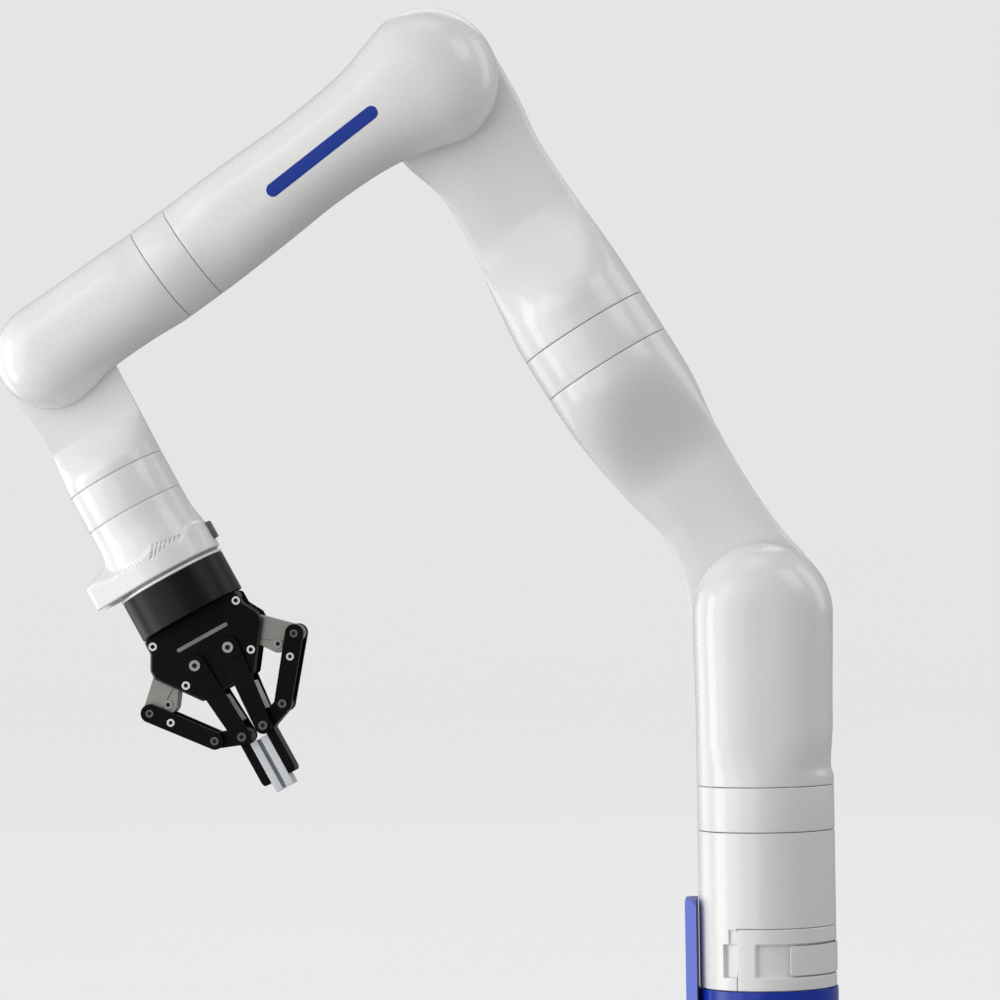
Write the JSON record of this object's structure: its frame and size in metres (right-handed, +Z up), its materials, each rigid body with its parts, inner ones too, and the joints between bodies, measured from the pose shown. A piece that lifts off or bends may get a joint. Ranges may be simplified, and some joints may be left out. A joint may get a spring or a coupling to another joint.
{
  "type": "collaborative robot arm",
  "caption": "White articulated robot arm with pitch and rotation joints, a blue clamp base with a release lever, a camera module and a black parallel-jaw gripper.",
  "frame": {"origin": "centre of the mounting face under the base socket", "axes": "+Z up along the base axis, the arm leans towards -X, +Y points to the back, all pitch joints turn about Y"},
  "size_m": [0.5783, 0.132, 0.6921],
  "materials": {
    "white_shell": "satin white lacquer",
    "blue_paint": "satin blue lacquer",
    "steel": "machined",
    "black_plastic": "fine grain",
    "circuit_board": "solder mask",
    "drive_metal": "machined",
    "lens_glass": "polished",
    "grey_plastic": "fine grain",
    "grey_metal": "bead blasted",
    "black_metal": "black anodised",
    "pad_silver": "fine blasted"
  },
  "bodies": {
    "base": {"mount_socket": "blue_paint", "cable_guard": "blue_paint", "base_shell": "white_shell", "clamp_band": "white_shell", "lever_pin": "steel", "connector_panel": "black_plastic", "controller_board": "circuit_board", "base_actuator": "drive_metal"},
    "clamp_lever": {"clamp_lever": "white_shell"},
    "power_button": {"power_button": "steel"},
    "shoulder": {"shoulder_ring": "white_shell", "shoulder_shell": "white_shell", "shoulder_actuator": "drive_metal"},
    "upper_arm_lower": {"upper_arm_lower_shell": "white_shell", "shoulder_flange": "drive_metal", "upper_arm_actuator": "drive_metal"},
    "upper_arm_upper": {"upper_arm_ring": "white_shell", "upper_arm_upper_shell": "white_shell", "elbow_flange": "drive_metal"},
    "forearm": {"forearm_shell": "white_shell", "elbow_actuator": "drive_metal", "forearm_actuator": "drive_metal"},
    "wrist_1": {"wrist_1_ring": "white_shell", "wrist_1_shell": "white_shell", "wrist_1_actuator": "drive_metal"},
    "wrist_2": {"wrist_2_shell": "white_shell", "wrist_2_flange": "drive_metal", "wrist_2_actuator": "drive_metal"},
    "tool": {"wrist_3_ring": "white_shell", "interface_shell": "white_shell", "camera_housing": "white_shell", "camera_lenses": "lens_glass", "interface_board": "circuit_board", "tool_coupling": "grey_metal", "gripper_body": "black_metal", "gripper_cover_front": "black_metal", "gripper_cover_rear": "black_metal", "gripper_screws": "steel", "gripper_motor": "drive_metal", "drive_shaft": "steel", "gripper_pivots": "steel"},
    "tool_button": {"tool_button": "grey_plastic"},
    "left_knuckle": {"left_knuckle": "grey_metal", "left_knuckle_screws": "steel", "left_outer_finger": "black_metal"},
    "left_inner_knuckle": {"left_inner_knuckle": "black_metal", "left_link_core": "grey_metal"},
    "left_finger": {"left_finger": "black_metal", "left_finger_pad": "pad_silver", "left_finger_pins": "steel"},
    "right_knuckle": {"right_knuckle": "grey_metal", "right_knuckle_screws": "steel", "right_outer_finger": "black_metal"},
    "right_inner_knuckle": {"right_inner_knuckle": "black_metal", "right_link_core": "grey_metal"},
    "right_finger": {"right_finger": "black_metal", "right_finger_pad": "pad_silver", "right_finger_pins": "steel"}
  },
  "joints": [
    {"name": "base_rotation", "type": "hinge", "parent": "base", "child": "shoulder", "pos_m": [0, 0, 0.1564], "axis": [0, 0, 1], "continuous": true},
    {"name": "shoulder_pitch", "type": "hinge", "parent": "shoulder", "child": "upper_arm_lower", "pos_m": [0, 0.00537, 0.2848], "axis": [0, -1, 0], "range_deg": [-160.1, 97.7]},
    {"name": "upper_arm_rotation", "type": "hinge", "parent": "upper_arm_lower", "child": "upper_arm_upper", "pos_m": [-0.10898, 0.01175, 0.46475], "axis": [-0.518, 0, 0.8554], "continuous": true},
    {"name": "elbow_pitch", "type": "hinge", "parent": "upper_arm_upper", "child": "forearm", "pos_m": [-0.21796, -0.001, 0.6447], "axis": [0, -1, 0], "range_deg": [-238, 30]},
    {"name": "forearm_rotation", "type": "hinge", "parent": "forearm", "child": "wrist_1", "pos_m": [-0.38912, -0.001, 0.52575], "axis": [-0.8211, 0, -0.5707], "continuous": true},
    {"name": "wrist_pitch", "type": "hinge", "parent": "wrist_1", "child": "wrist_2", "pos_m": [-0.4761, -0.00065, 0.46529], "axis": [0, -1, 0], "range_deg": [-203.6, 37]},
    {"name": "tool_rotation", "type": "hinge", "parent": "wrist_2", "child": "tool", "pos_m": [-0.42621, -0.00065, 0.37185], "axis": [0.471, 0, -0.8821], "continuous": true},
    {"name": "clamp_lever_hinge", "type": "hinge", "parent": "base", "child": "clamp_lever", "pos_m": [0.04402, 0.00776, 0.057], "axis": [0, 0, 1], "range_deg": [0, 100]},
    {"name": "power_button_press", "type": "slide", "parent": "base", "child": "power_button", "axis": [0, -1, 0], "range_m": [0, 0.0015], "stiffness_N_per_m": 400},
    {"name": "tool_button_press", "type": "slide", "parent": "tool", "child": "tool_button", "axis": [-0.8821, 0, -0.471], "range_m": [0, 0.001], "stiffness_N_per_m": 400},
    {"name": "left_knuckle_pivot", "type": "hinge", "parent": "tool", "child": "left_knuckle", "pos_m": [-0.39738, -0.00065, 0.2529], "axis": [0, 1, 0], "range_deg": [0, 45]},
    {"name": "left_inner_knuckle_pivot", "type": "hinge", "parent": "tool", "child": "left_inner_knuckle", "pos_m": [-0.37853, -0.00065, 0.2556], "axis": [0, 1, 0], "range_deg": [0, 45]},
    {"name": "left_finger_pivot", "type": "hinge", "parent": "left_knuckle", "child": "left_finger", "pos_m": [-0.36654, -0.00065, 0.20486], "axis": [0, 1, 0], "range_deg": [-45, 0]},
    {"name": "right_knuckle_pivot", "type": "hinge", "parent": "tool", "child": "right_knuckle", "pos_m": [-0.3434, -0.00065, 0.28173], "axis": [0, -1, 0], "range_deg": [0, 45]},
    {"name": "right_inner_knuckle_pivot", "type": "hinge", "parent": "tool", "child": "right_inner_knuckle", "pos_m": [-0.35613, -0.00065, 0.26757], "axis": [0, -1, 0], "range_deg": [0, 45]},
    {"name": "right_finger_pivot", "type": "hinge", "parent": "right_knuckle", "child": "right_finger", "pos_m": [-0.32063, -0.00065, 0.22937], "axis": [0, -1, 0], "range_deg": [-45, 0]}
  ],
  "couplings": [
    {"joint": "left_inner_knuckle_pivot", "follows": "left_knuckle_pivot", "ratio": 1},
    {"joint": "left_finger_pivot", "follows": "left_knuckle_pivot", "ratio": -1},
    {"joint": "right_knuckle_pivot", "follows": "left_knuckle_pivot", "ratio": 1},
    {"joint": "right_inner_knuckle_pivot", "follows": "left_knuckle_pivot", "ratio": 1},
    {"joint": "right_finger_pivot", "follows": "left_knuckle_pivot", "ratio": -1}
  ]
}
